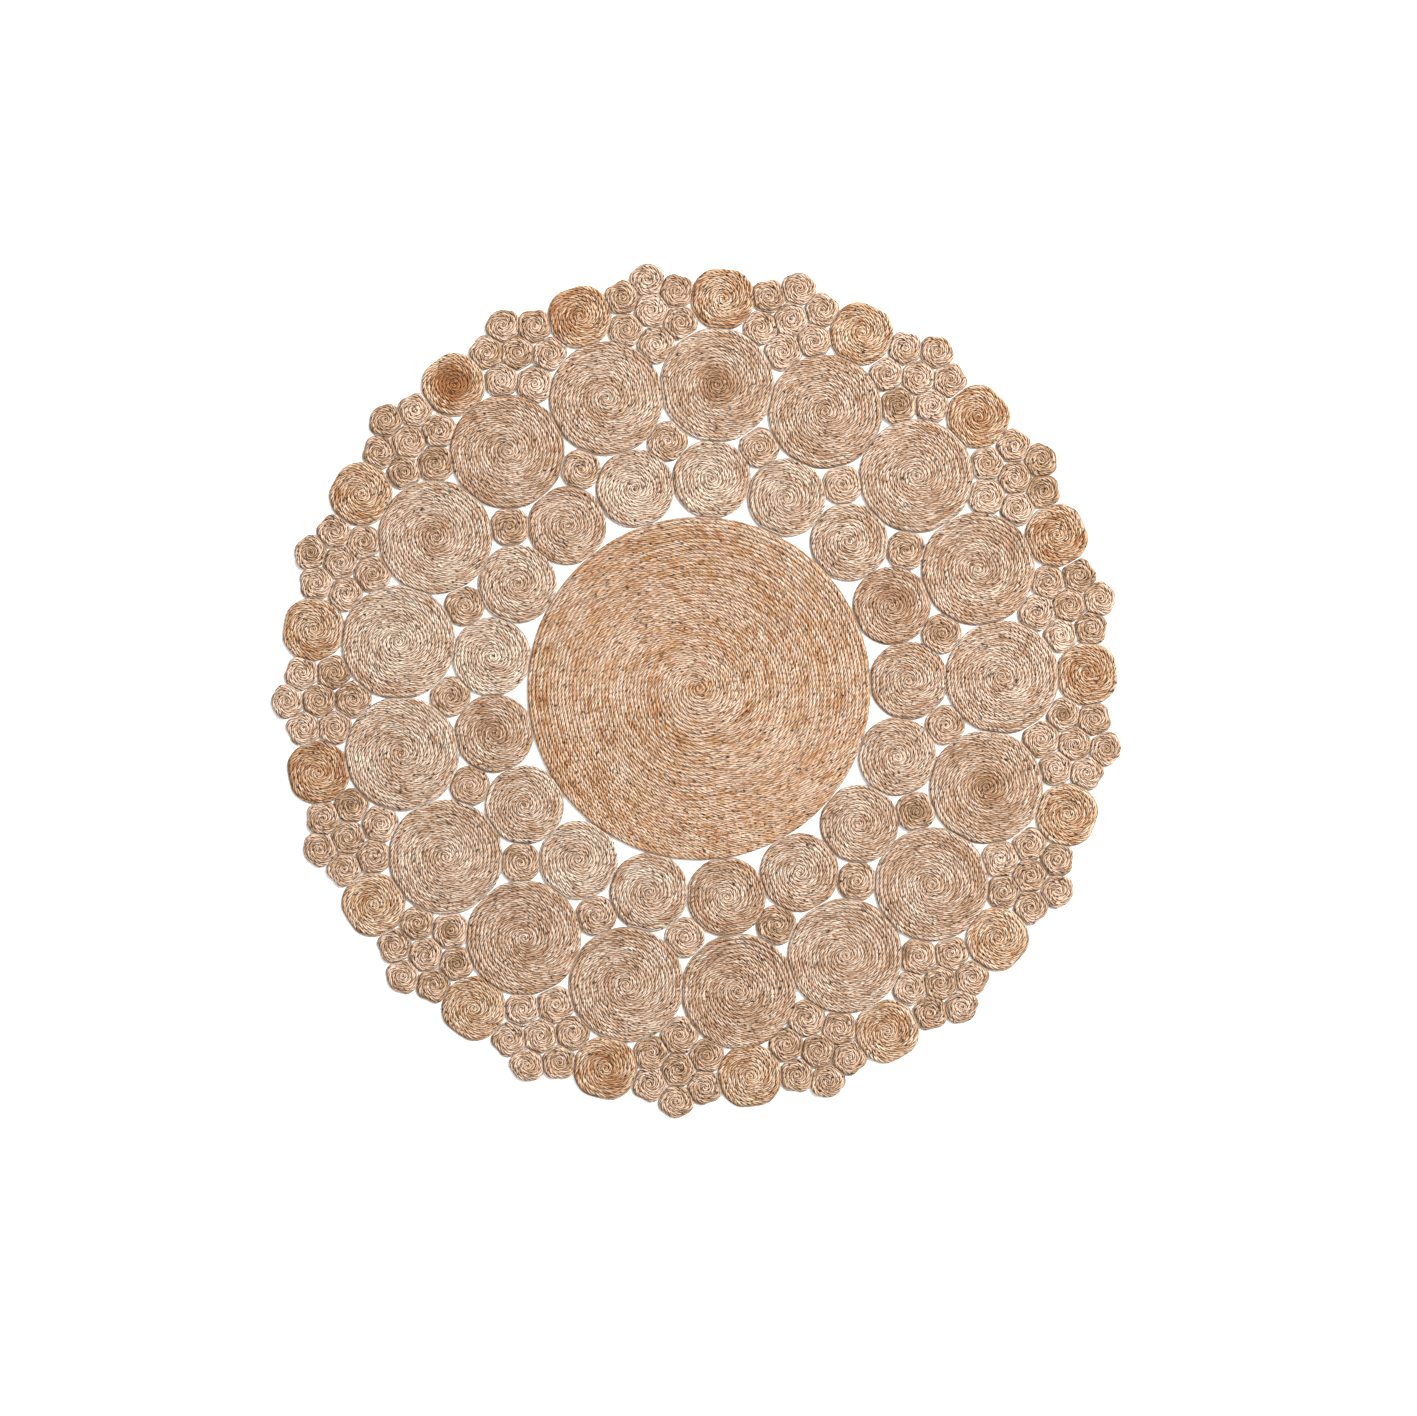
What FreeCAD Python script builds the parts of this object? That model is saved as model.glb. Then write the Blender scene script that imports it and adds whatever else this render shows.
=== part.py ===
"""Round jute rug sewn together from separate rope coils.

One large coil lies in the middle.  A ring of inner coils touches it, a ring of large coils lies
outside them, and small filler coils close the pockets between the two rings.  The outer edge
alternates single rim coils with clusters of seven small coils.  Each coil is one length of
twisted rope wound flat, and short twine stitches in the grooves under the rug hold the coils.

Units are millimetres.  +Z is up, and the origin is the centre of the rug's underside.
"""
import FreeCAD, Part

import cmath
import math
import os
from collections import namedtuple

import Sketcher
from FreeCAD import Placement, Rotation, Vector

# Driving dimensions: alias, value and meaning.
DIMENSIONS = (
    ("petal_count", 17, "coils in each ring around the middle"),
    ("rope_width", 7.5, "diameter of the wound rope, which is the rug's thickness"),
    ("centre_radius", 361, "radius of the middle coil"),
    ("rim_radius", 63.5, "radius of the single coils on the outer edge"),
    ("coil_clearance", 0.3, "least gap between neighbouring coils"),
    ("first_petal_turn", 3.3, "degrees clockwise from +Y to the first petal"),
    ("pull_share", 0.003, "sideways pull of the hand-laid rings, as a share of the reach"),
    ("pull_bearing", 130, "degrees from +X of the sideways pull"),
    ("oval_share", 0.0025, "ovalness of the hand-laid rings, as a share of the reach"),
    ("oval_bearing", 188, "degrees from +X of the oval's short axis, doubled"),
    ("thread_radius", 0.75, "radius of the sewing twine"),
    ("thread_clearance", 0.1, "gap between the twine and each rope that it holds"),
    ("stitch_length", 12, "length of twine that shows under one stitch"),
    ("stitch_reach", 1.2, "widest gap between two coils that is sewn"),
)

SOLVER_STEPS = 60
CLUSTER_SIDES = 6

# One wound coil: the node that holds it, its own name, its kind, its centre and its radius.
Coil = namedtuple("Coil", "node name kind centre radius")

# The seam node that each pair of coil kinds is sewn in.
SEAMS = {
    frozenset(("centre", "inner")): "stitches_centre",
    frozenset(("inner",)): "stitches_inner_ring",
    frozenset(("inner", "filler")): "stitches_filler",
    frozenset(("large", "filler")): "stitches_filler",
    frozenset(("inner", "large")): "stitches_large_ring",
    frozenset(("large",)): "stitches_large_ring",
    frozenset(("large", "rim")): "stitches_rim",
    frozenset(("large", "cluster")): "stitches_rim",
    frozenset(("rim", "cluster")): "stitches_rim",
    frozenset(("cluster",)): "stitches_clusters",
}


def make_sheet(doc):
    """Write the driving dimensions into a spreadsheet and return it."""
    sheet = doc.addObject("Spreadsheet::Sheet", "Sizes")
    for row, (alias, value, meaning) in enumerate(DIMENSIONS, start=1):
        sheet.set(f"A{row}", alias)
        sheet.set(f"B{row}", str(value))
        sheet.set(f"C{row}", meaning)
        sheet.setAlias(f"B{row}", alias)
    doc.recompute()
    return sheet


def solve(gap, low, high):
    """Return the value between low and high at which a shrinking gap closes."""
    for _ in range(SOLVER_STEPS):
        middle = (low + high) / 2
        if gap(middle) > 0:
            low = middle
        else:
            high = middle
    return low


def reach_past(neighbour, distance, sideways=0.0):
    """Return how far out a centre lies that is distance from neighbour, outside it."""
    return neighbour.real + math.sqrt(distance**2 - (neighbour.imag - sideways) ** 2)


def regular_petal(sheet):
    """Return the coils of one petal of the true pattern, in two lists.

    The first list's coils lie along the petal's own line, and the second list's lie about the
    line between two petals.  Each entry is (kind, name, centre, radius), and a centre is a
    complex number whose real part points outward.
    """
    count = int(sheet.petal_count)
    clearance = sheet.coil_clearance
    half_step = math.pi / count
    share = math.sin(half_step)

    # Two rings, each as tight around its own circle as it is against the ring inside it.
    inner_place = (sheet.centre_radius + clearance / 2) / (1 - share)
    inner_radius = inner_place * share - clearance / 2
    large_place = (inner_place + inner_radius + clearance / 2) / (1 - share)
    large_radius = large_place * share - clearance / 2
    rim_place = large_place + large_radius + clearance + sheet.rim_radius

    # The neighbours on one side, seen from the line between two petals.
    side = cmath.rect(1, half_step)
    inner = inner_place * side
    large = large_place * side
    rim = rim_place * side

    def filler_place(radius):
        return reach_past(inner, inner_radius + radius + clearance)

    def filler_gap(radius):
        return abs(filler_place(radius) - large) - large_radius - radius - clearance

    filler_radius = solve(filler_gap, sheet.rope_width, inner_radius)

    # The lower coils of a cluster touch the large coils, and its side coils fill the space up
    # to the rim coils.
    def cluster(radius):
        half_pitch = radius + clearance / 2
        sideways = math.sqrt(3) * half_pitch
        distance = large_radius + radius + clearance
        middle = reach_past(large, distance, sideways) + half_pitch
        sixth = 2 * math.pi / CLUSTER_SIDES
        ring = [middle + cmath.rect(2 * half_pitch, turn * sixth) for turn in range(CLUSTER_SIDES)]
        return middle, ring

    def cluster_gap(radius):
        tip, upper, lower, *_ = cluster(radius)[1]
        return min(abs(upper - rim), abs(lower - rim)) - sheet.rim_radius - radius - clearance

    small_radius = solve(cluster_gap, sheet.rope_width, sheet.rim_radius)
    middle, (tip, upper_a, lower_a, _, lower_b, upper_b) = cluster(small_radius)

    # The innermost coil of a cluster is wound a little larger, to close on both large coils.
    def key_place(radius):
        return reach_past(large, large_radius + radius + clearance)

    def key_gap(radius):
        to_side = abs(key_place(radius) - lower_a)
        to_middle = middle - key_place(radius)
        return min(to_side, to_middle) - small_radius - radius - clearance

    key_radius = solve(key_gap, sheet.rope_width, large_radius)

    on_petal = [
        ("inner", "inner_coil", inner_place, inner_radius),
        ("large", "large_coil", large_place, large_radius),
        ("rim", "rim_coil", rim_place, sheet.rim_radius),
    ]
    on_gap = [
        ("filler", "filler_coil", filler_place(filler_radius), filler_radius),
        ("cluster", "middle", middle, small_radius),
        ("cluster", "tip", tip, small_radius),
        ("cluster", "upper_a", upper_a, small_radius),
        ("cluster", "lower_a", lower_a, small_radius),
        ("cluster", "key", key_place(key_radius), key_radius),
        ("cluster", "lower_b", lower_b, small_radius),
        ("cluster", "upper_b", upper_b, small_radius),
    ]
    return on_petal, on_gap


def node_of(kind, name, number):
    """Return the node that holds a coil, and the coil's own name."""
    if kind in ("inner", "large"):
        return f"{name}_{number:02d}", f"{name}_{number:02d}"
    if kind == "cluster":
        return f"rim_cluster_{number:02d}", f"rim_cluster_{number:02d}_{name}"
    return f"{name}s", f"{name}_{number:02d}"


def laid_by_hand(sheet, place, reach):
    """Return where a true centre lands in the slightly pulled, oval rug, and the local stretch."""
    pull = cmath.rect(sheet.pull_share, math.radians(sheet.pull_bearing))
    oval = cmath.rect(sheet.oval_share, math.radians(sheet.oval_bearing))
    part = place / reach
    moved = place + reach * (pull * part**2 + oval * part**3)
    stretch = abs(1 + 2 * pull * part + 3 * oval * part**2)
    return moved, stretch


def lay_out(sheet):
    """Return every coil of the rug, centred on the origin."""
    on_petal, on_gap = regular_petal(sheet)
    count = int(sheet.petal_count)
    reach = max(abs(place) + radius for _, _, place, radius in on_gap)
    coils = [Coil("centre_coil", "centre_coil", "centre", 0j, sheet.centre_radius)]
    for number in range(count):
        for offset, group in ((0, on_petal), (0.5, on_gap)):
            clockwise = sheet.first_petal_turn + 360 * (number + offset) / count
            outward = cmath.rect(1, math.radians(90 - clockwise))
            for kind, name, place, radius in group:
                centre, stretch = laid_by_hand(sheet, place * outward, reach)
                node, own_name = node_of(kind, name, number + 1)
                coils.append(Coil(node, own_name, kind, centre, radius * stretch))
    return centred(eased(coils, sheet.coil_clearance))


def eased(coils, clearance):
    """Return the coils with radii reduced just enough for every pair to keep the clearance."""
    trims = [0.0] * len(coils)
    for first, one in enumerate(coils):
        for second in range(first + 1, len(coils)):
            other = coils[second]
            overlap = one.radius + other.radius + clearance - abs(one.centre - other.centre)
            trims[first] = max(trims[first], overlap / 2)
            trims[second] = max(trims[second], overlap / 2)
    return [coil._replace(radius=coil.radius - trim) for coil, trim in zip(coils, trims)]


def outline(coils):
    """Return the lower left and the upper right corner of the box around the coils."""
    left = min(coil.centre.real - coil.radius for coil in coils)
    right = max(coil.centre.real + coil.radius for coil in coils)
    front = min(coil.centre.imag - coil.radius for coil in coils)
    back = max(coil.centre.imag + coil.radius for coil in coils)
    return complex(left, front), complex(right, back)


def centred(coils):
    """Return the coils moved so that the middle of their outline box is the origin."""
    low, high = outline(coils)
    return [coil._replace(centre=coil.centre - (low + high) / 2) for coil in coils]


def make_coil(doc, coil):
    """Make one coil as a flat disc with the rope's round edge, and return its body."""
    body = doc.addObject("PartDesign::Body", coil.name)
    body.Label = coil.name
    planes = {plane.Role: plane for plane in body.Origin.OriginFeatures}
    sketch = body.newObject("Sketcher::SketchObject", f"{coil.name}_profile")
    sketch.AttachmentSupport = (planes["XZ_Plane"], "")
    sketch.MapMode = "FlatFace"
    edge = doc.Sizes.rope_width / 2
    flat = coil.radius - edge
    quarter = math.pi / 2
    lower_face = Part.LineSegment(Vector(0, 0, 0), Vector(flat, 0, 0))
    rope_edge = Part.Circle(Vector(flat, edge, 0), Vector(0, 0, 1), edge)
    upper_face = Part.LineSegment(Vector(flat, 2 * edge, 0), Vector(0, 2 * edge, 0))
    axis_line = Part.LineSegment(Vector(0, 2 * edge, 0), Vector(0, 0, 0))
    lines = (lower_face, Part.ArcOfCircle(rope_edge, -quarter, quarter), upper_face, axis_line)
    lower, arc, upper, axis = sketch.addGeometry(list(lines), False)
    start, end, centre_point = 1, 2, 3
    origin = (-1, 1)
    sketch.addConstraint([
        Sketcher.Constraint("Coincident", lower, start, *origin),
        Sketcher.Constraint("Tangent", lower, end, arc, start),
        Sketcher.Constraint("Tangent", arc, end, upper, start),
        Sketcher.Constraint("Coincident", upper, end, axis, start),
        Sketcher.Constraint("Coincident", axis, end, lower, start),
        Sketcher.Constraint("Horizontal", lower),
        Sketcher.Constraint("Vertical", axis),
    ])
    edge_size = sketch.addConstraint(Sketcher.Constraint("Radius", arc, edge))
    sketch.renameConstraint(edge_size, "edge_radius")
    sketch.setExpression("Constraints.edge_radius", "Sizes.rope_width / 2")
    reach = Sketcher.Constraint("DistanceX", *origin, arc, centre_point, flat)
    flat_size = sketch.addConstraint(reach)
    sketch.renameConstraint(flat_size, "flat_radius")
    sketch.setExpression("Constraints.flat_radius", f"{coil.radius!r} - Sizes.rope_width / 2")
    turned = body.newObject("PartDesign::Revolution", f"{coil.name}_turned")
    turned.Profile = sketch
    turned.ReferenceAxis = (sketch, ["V_Axis"])
    turned.Angle = 360
    body.Placement = Placement(Vector(coil.centre.real, coil.centre.imag, 0), Rotation())
    return body


def make_stitch(sheet, one, other, gap):
    """Return the twine in the groove under two coils, along the groove."""
    across = (other.centre - one.centre) / abs(other.centre - one.centre)
    place = one.centre + across * (one.radius + gap / 2)
    edge = sheet.rope_width / 2
    seat = edge + sheet.thread_clearance + sheet.thread_radius
    height = edge - math.sqrt(seat**2 - (edge + gap / 2) ** 2)
    along = Vector(-across.imag, across.real, 0)
    start = Vector(place.real, place.imag, height) - along * (sheet.stitch_length / 2)
    return Part.makeCylinder(sheet.thread_radius, sheet.stitch_length, start, along)


def make_seams(doc, sheet, coils):
    """Sew every pair of touching coils, one node for each kind of seam, and return the nodes."""
    stitches = {node: [] for node in SEAMS.values()}
    for first, one in enumerate(coils):
        for other in coils[first + 1:]:
            gap = abs(other.centre - one.centre) - one.radius - other.radius
            if gap <= sheet.stitch_reach:
                node = SEAMS[frozenset((one.kind, other.kind))]
                stitches[node].append(make_stitch(sheet, one, other, gap))
    seams = []
    for node, threads in stitches.items():
        seam = doc.addObject("Part::Feature", node)
        seam.Label = node
        seam.Shape = Part.makeCompound(threads)
        seam.Placement = Placement()
        seams.append((seam, len(threads)))
    return seams


def make_coils(doc, coils):
    """Make every coil, group those that share a node, and return (object, solids) pairs."""
    members = {}
    for coil in coils:
        members.setdefault(coil.node, []).append(make_coil(doc, coil))
    nodes = []
    for node, bodies in members.items():
        if len(bodies) == 1:
            nodes.append((bodies[0], 1))
            continue
        group = doc.addObject("Part::Compound", node)
        group.Label = node
        group.Links = bodies
        nodes.append((group, len(bodies)))
    return nodes


def check(doc, nodes):
    """Stop if any object failed, or any sub-part is empty, invalid or short of solids."""
    for item in doc.Objects:
        if {"Invalid", "Error"} & set(item.State):
            raise RuntimeError(f"{item.Label} failed: {item.State}")
    for item, solid_count in nodes:
        if item.Shape.isNull() or not item.Shape.isValid():
            raise RuntimeError(f"{item.Label} has no valid shape")
        if len(item.Shape.Solids) != solid_count:
            raise RuntimeError(f"{item.Label} has {len(item.Shape.Solids)} solids, not {solid_count}")


def main():
    """Build the rug and write one STEP file for each node."""
    doc = FreeCAD.newDocument("JuteCoilRug")
    sheet = make_sheet(doc)
    coils = lay_out(sheet)
    nodes = make_coils(doc, coils) + make_seams(doc, sheet, coils)
    doc.recompute()
    check(doc, nodes)
    os.makedirs("parts", exist_ok=True)
    for item, _ in nodes:
        item.Shape.exportStep(f"parts/{item.Label}.step")
    low, high = outline(coils)
    size = high - low
    print(f"{len(coils)} coils in {len(nodes)} nodes, {size.real:.1f} by {size.imag:.1f} mm")


main()
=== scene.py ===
import logging
import math
from dataclasses import dataclass, field, replace
from enum import Enum

import bpy
import numpy as np
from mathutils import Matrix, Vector


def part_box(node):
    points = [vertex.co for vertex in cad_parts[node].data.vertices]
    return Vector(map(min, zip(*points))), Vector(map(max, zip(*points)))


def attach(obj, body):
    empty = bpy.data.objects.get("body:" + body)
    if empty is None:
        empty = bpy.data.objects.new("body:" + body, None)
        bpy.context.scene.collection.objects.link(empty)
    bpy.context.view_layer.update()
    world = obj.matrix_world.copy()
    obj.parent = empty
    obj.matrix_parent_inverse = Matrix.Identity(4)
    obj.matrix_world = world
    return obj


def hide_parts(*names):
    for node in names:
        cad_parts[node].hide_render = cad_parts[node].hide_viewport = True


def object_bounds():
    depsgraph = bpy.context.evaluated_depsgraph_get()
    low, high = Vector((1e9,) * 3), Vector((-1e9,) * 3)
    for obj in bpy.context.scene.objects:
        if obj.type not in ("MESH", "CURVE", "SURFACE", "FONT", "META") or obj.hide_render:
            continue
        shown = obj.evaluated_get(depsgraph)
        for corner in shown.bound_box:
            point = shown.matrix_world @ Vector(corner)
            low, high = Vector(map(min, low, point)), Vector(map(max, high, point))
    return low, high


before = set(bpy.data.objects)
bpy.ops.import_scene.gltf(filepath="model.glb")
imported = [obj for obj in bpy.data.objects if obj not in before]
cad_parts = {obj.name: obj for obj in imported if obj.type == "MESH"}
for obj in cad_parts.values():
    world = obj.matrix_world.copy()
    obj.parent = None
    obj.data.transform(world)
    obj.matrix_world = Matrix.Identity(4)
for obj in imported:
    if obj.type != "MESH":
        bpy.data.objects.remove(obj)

CAD_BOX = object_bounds()

LOG = logging.getLogger("jute_coil_rug")
MM = 0.001
FULL_TURN = 2 * math.pi
BODY = "root"
ROPE_MAP = "Rope"
BAKE_MAP = "OFBake"
TONE = "coil_tone"
# Attribute that holds the painted shade of the seams between turns and around coils.
SEAM_SHADE = "painted_seam_shade"
POINTS_PER_STRAND = 3
# How many finer layers a noise has.
PLAIN, FINE, FINEST = 1.0, 2.0, 3.0
# A length this short or shorter has no direction.
NEARLY_NOTHING = 1e-9
# Points of the frame that lie this near each other are one point.
MERGE = 0.01 * MM
# How gently a coil's edge turns from free to pressed, and how far out a neighbour is left out.
CORNER = 1.0 * MM
FARTHEST = 10 * CORNER
# Cosines of the bearing from the nearest neighbour where a coil begins to count as free, and is.
OPEN_FROM = math.cos(math.radians(48))
OPEN_AT = math.cos(math.radians(80))

Colour = tuple[float, float, float, float]
Socket = bpy.types.NodeSocket


class Winding(Enum):
    """Which part of the rug a coil is."""

    CENTRE = "centre"
    INNER = "inner"
    LARGE = "large"
    RIM = "rim"
    FILLER = "filler"
    CLUSTER = "cluster"


# How far each kind of coil spreads into the open spaces beside it.
SWELL = {
    Winding.CENTRE: 2.0 * MM,
    Winding.INNER: 3.0 * MM,
    Winding.LARGE: 4.0 * MM,
    Winding.RIM: 5.0 * MM,
    Winding.FILLER: 3.8 * MM,
    Winding.CLUSTER: 4.8 * MM,
}

# How loosely each kind of coil is wound, beside the centre coil.
LOOSENESS = {
    Winding.CENTRE: 1.0,
    Winding.INNER: 1.3,
    Winding.LARGE: 1.0,
    Winding.RIM: 1.7,
    Winding.FILLER: 1.3,
    Winding.CLUSTER: 1.4,
}


def linear(colour: str) -> Colour:
    """Turn an sRGB hex colour into the linear colour that shaders use.

    Args:
        colour: Six hex digits after a #.

    Returns:
        Linear red, green and blue, and full opacity.
    """
    shades = [int(colour[i:i + 2], 16) / 255 for i in (1, 3, 5)]
    red, green, blue = (s / 12.92 if s <= 0.04045 else ((s + 0.055) / 1.055) ** 2.4 for s in shades)
    return red, green, blue, 1.0


def add_node(
    tree: bpy.types.NodeTree,
    kind: str,
    settings: dict | None = None,
    links: dict | None = None,
    stops: list[tuple[float, Colour]] | None = None,
) -> bpy.types.Node:
    """Add one node to a material.

    Args:
        tree: The material's node tree.
        kind: Blender's name for the kind of node.
        settings: Values by the name or number of an input, or by property name.
        links: Sockets, or nodes with one output, by the name or number of the input they feed.
        stops: Place and colour of each stop of a colour ramp, from left to right.

    Returns:
        The new node.
    """
    node = tree.nodes.new(kind)
    for key, value in (settings or {}).items():
        if isinstance(key, int) or key in node.inputs:
            node.inputs[key].default_value = value
        else:
            setattr(node, key, value)
    for key, source in (links or {}).items():
        socket = source.outputs[0] if isinstance(source, bpy.types.Node) else source
        tree.links.new(socket, node.inputs[key])
    if stops:
        elements = node.color_ramp.elements
        while len(elements) < len(stops):
            elements.new(1.0)
        for element, (place, colour) in zip(elements, stops):
            element.position = place
            element.color = colour
    return node


def start_material(name: str) -> bpy.types.Material:
    """Make a material with no nodes yet.

    Args:
        name: The material's name.

    Returns:
        The empty material.
    """
    made = bpy.data.materials.new(name)
    made.use_nodes = True
    made.node_tree.nodes.clear()
    return made


def add_surface(
    tree: bpy.types.NodeTree,
    settings: dict,
    colour: Socket,
    height: Socket,
    relief: tuple[float, float],
) -> None:
    """Finish a material with a rough surface of one colour and relief.

    Args:
        tree: The material's node tree.
        settings: Roughness and the like, by the name of the shader's input.
        colour: The colour of the surface.
        height: How high the surface is, from 0 to 1.
        relief: The strength and the depth of that.
    """
    strength, depth = relief
    bump = add_node(
        tree, "ShaderNodeBump", {"Strength": strength, "Distance": depth}, {"Height": height}
    )
    links = {"Base Color": colour, "Normal": bump}
    shader = add_node(tree, "ShaderNodeBsdfPrincipled", settings, links)
    add_node(tree, "ShaderNodeOutputMaterial", links={"Surface": shader})


def greys(stops: tuple[tuple[float, float], ...]) -> list[tuple[float, Colour]]:
    """Return a ramp's stops with each value as an opaque grey."""
    return [(place, (value, value, value, 1.0)) for place, value in stops]


def select_only(piece: bpy.types.Object) -> None:
    """Make one object the only selected one, and active.

    Args:
        piece: The object.
    """
    bpy.ops.object.select_all(action="DESELECT")
    piece.select_set(True)
    bpy.context.view_layer.objects.active = piece


@dataclass(frozen=True)
class StrandPlace:
    """Where a point lies on the rope: the sockets that every pattern of the jute reads."""

    tree: bpy.types.NodeTree
    # The distance along the rope in metres, and the share of the way around it.
    along: Socket
    around: Socket
    # A value that keeps each strand's drifts apart from the next one's.
    apart: Socket
    # How far off the strand's crest is, in widths of a strand.
    off_crest: Socket

    def drift(self, length: float, second: Socket, detail: float, third: Socket | None = None) -> Socket:
        """Return a random value that drifts along the rope.

        Args:
            length: Length of one patch, in metres.
            second: Value that the drift also changes with.
            detail: How many finer layers it has.
            third: Another such value.

        Returns:
            The drift, from 0 to 1 and mostly near the middle.
        """
        settings = {"operation": "DIVIDE", 1: length}
        patches = add_node(self.tree, "ShaderNodeMath", settings, {0: self.along})
        links = {"X": patches, "Y": second}
        if third is not None:
            links["Z"] = third
        place = add_node(self.tree, "ShaderNodeCombineXYZ", links=links)
        settings = {"noise_dimensions": "3D", "Scale": 1.0, "Detail": detail}
        return add_node(self.tree, "ShaderNodeTexNoise", settings, {"Vector": place}).outputs["Fac"]


@dataclass(frozen=True)
class JuteFinish:
    """Retted jute, hand spun and laid into rope, neither bleached nor dyed.

    It is a dull bast fibre: no gloss, a faint pale sheen at grazing angles, and long streaks
    along each strand where the colour of the stalk changed from straw to rust.
    """

    name: str
    straw: str
    pale: str
    tan: str
    rust: str
    # Colour of the painted shade in the grooves and seams.
    seam: str = "#3f2412"
    bark: str = "#241a16"
    strands: int = 4
    girth: float = 23.6 * MM
    roughness: float = 0.86
    specular: float = 0.25
    sheen: float = 0.05
    sheen_tint: str = "#f4e3c8"
    # Where the drift of colour turns to rust, tan, straw and pale.
    stalk_places: tuple[float, ...] = (0.28, 0.42, 0.56, 0.76)
    # Each strand reads the drift this far from the next, so that they differ.
    strand_apart: float = 7.3
    tone_spread: float = 0.03
    patch: float = 30 * MM
    rust_length: float = 26 * MM
    rust_cover: tuple[tuple[float, float], ...] = ((0.58, 0.0), (0.68, 0.85))
    batch: float = 60 * MM
    batch_share: float = 0.3
    # Jute fibre is 0.05 mm thick, too fine to show, so its bundles are drawn about 0.6 mm wide.
    fibre_width: float = 0.6 * MM
    fibre_length: float = 9 * MM
    # Bundles crossed in a metre of rope, because they run at a slant to it.
    fibre_slant: float = 210.0
    fibre_shade: tuple[tuple[float, float], ...] = ((0.3, 0.6), (0.46, 1.0), (0.68, 1.22))
    # Specks of bark come out about 3 mm across, one in a finger's length of rope.
    speck: float = 4.6 * MM
    speck_length: float = 10 * MM
    speck_cover: tuple[tuple[float, float], ...] = ((0.6, 0.0), (0.645, 1.0))
    # How much painted shade darkens a strand from its crest to the groove beside it.
    groove_shade: tuple[tuple[float, float], ...] = (
        (0.0, 0.0),
        (0.32, 0.03),
        (0.42, 0.5),
        (0.49, 1.0),
    )
    # Painted shadow deepens some grooves, as if they gape, in stretches about as long as one strand's
    # bump.
    gap_shadow_length: float = 9 * MM
    gap_shadow_apart: float = 9.0
    gap_shadow_share: float = 0.62
    bump: float = 0.35 * MM
    bump_strength: float = 0.8

    def material(self) -> bpy.types.Material:
        """Make the rope's material, which reads the rope's own map along and around it.

        Returns:
            The finished material.
        """
        made = start_material(self.name)
        place = self.find_place(made.node_tree)
        fibre = self.fibres(place)
        colour = self.rust_patches(place, self.stalk_colour(place))
        colour = self.specks(place, self.shade(place, colour, fibre))
        settings = {
            "Roughness": self.roughness,
            "Sheen Weight": self.sheen,
            "Sheen Tint": linear(self.sheen_tint),
            "Specular IOR Level": self.specular,
        }
        add_surface(made.node_tree, settings, colour, fibre, (self.bump_strength, self.bump))
        return made

    def find_place(self, tree: bpy.types.NodeTree) -> StrandPlace:
        """Read the rope's map, and work out the strand.

        Args:
            tree: The material's node tree.

        Returns:
            Where the point lies on the rope.
        """
        rope = add_node(tree, "ShaderNodeUVMap", {"uv_map": ROPE_MAP})
        place = add_node(tree, "ShaderNodeSeparateXYZ", links={0: rope})
        along, around = place.outputs["X"], place.outputs["Y"]
        settings = {"operation": "MULTIPLY", 1: float(self.strands)}
        count = add_node(tree, "ShaderNodeMath", settings, {0: around})
        strand = add_node(tree, "ShaderNodeMath", {"operation": "FLOOR"}, {0: count})
        share = add_node(tree, "ShaderNodeMath", {"operation": "FRACT"}, {0: count})
        centred = add_node(tree, "ShaderNodeMath", {"operation": "SUBTRACT", 1: 0.5}, {0: share})
        off_crest = add_node(tree, "ShaderNodeMath", {"operation": "ABSOLUTE"}, {0: centred})
        settings = {"operation": "MULTIPLY", 1: self.strand_apart}
        apart = add_node(tree, "ShaderNodeMath", settings, {0: strand})
        return StrandPlace(tree, along, around, apart.outputs[0], off_crest.outputs[0])

    def stalk_colour(self, place: StrandPlace) -> Socket:
        """Mix the colour that changes from stalk to stalk, strand by strand, and coil by coil.

        Args:
            place: Where the point lies on the rope.

        Returns:
            The colour of the jute there.
        """
        tree = place.tree
        noise = place.drift(self.patch, place.apart, FINEST)
        coordinates = add_node(tree, "ShaderNodeTexCoord")
        settings = {"noise_dimensions": "3D", "Scale": 1 / self.batch, "Detail": FINE}
        links = {"Vector": coordinates.outputs["Object"]}
        batch = add_node(tree, "ShaderNodeTexNoise", settings, links)
        settings = {"operation": "SUBTRACT", 1: 0.5}
        centred = add_node(tree, "ShaderNodeMath", settings, {0: batch.outputs["Fac"]})
        settings = {"operation": "MULTIPLY_ADD", 1: self.batch_share}
        mottled = add_node(tree, "ShaderNodeMath", settings, {0: centred, 2: noise})
        tone = add_node(tree, "ShaderNodeAttribute", {"attribute_name": TONE})
        settings = {"operation": "MULTIPLY_ADD", 1: self.tone_spread}
        moved = add_node(tree, "ShaderNodeMath", settings, {0: tone.outputs["Fac"], 2: mottled})
        colours = [linear(colour) for colour in (self.rust, self.tan, self.straw, self.pale)]
        stops = list(zip(self.stalk_places, colours))
        ramp = add_node(tree, "ShaderNodeValToRGB", links={"Fac": moved}, stops=stops)
        return ramp.outputs["Color"]

    def rust_patches(self, place: StrandPlace, colour: Socket) -> Socket:
        """Lay short lengths of rust-coloured stalk over single strands.

        Args:
            place: Where the point lies on the rope.
            colour: The colour beneath.

        Returns:
            The mixed colour.
        """
        patches = place.drift(self.rust_length, place.apart, PLAIN, third=place.apart)
        return self.cover(place, colour, patches, self.rust_cover, self.rust)

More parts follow.
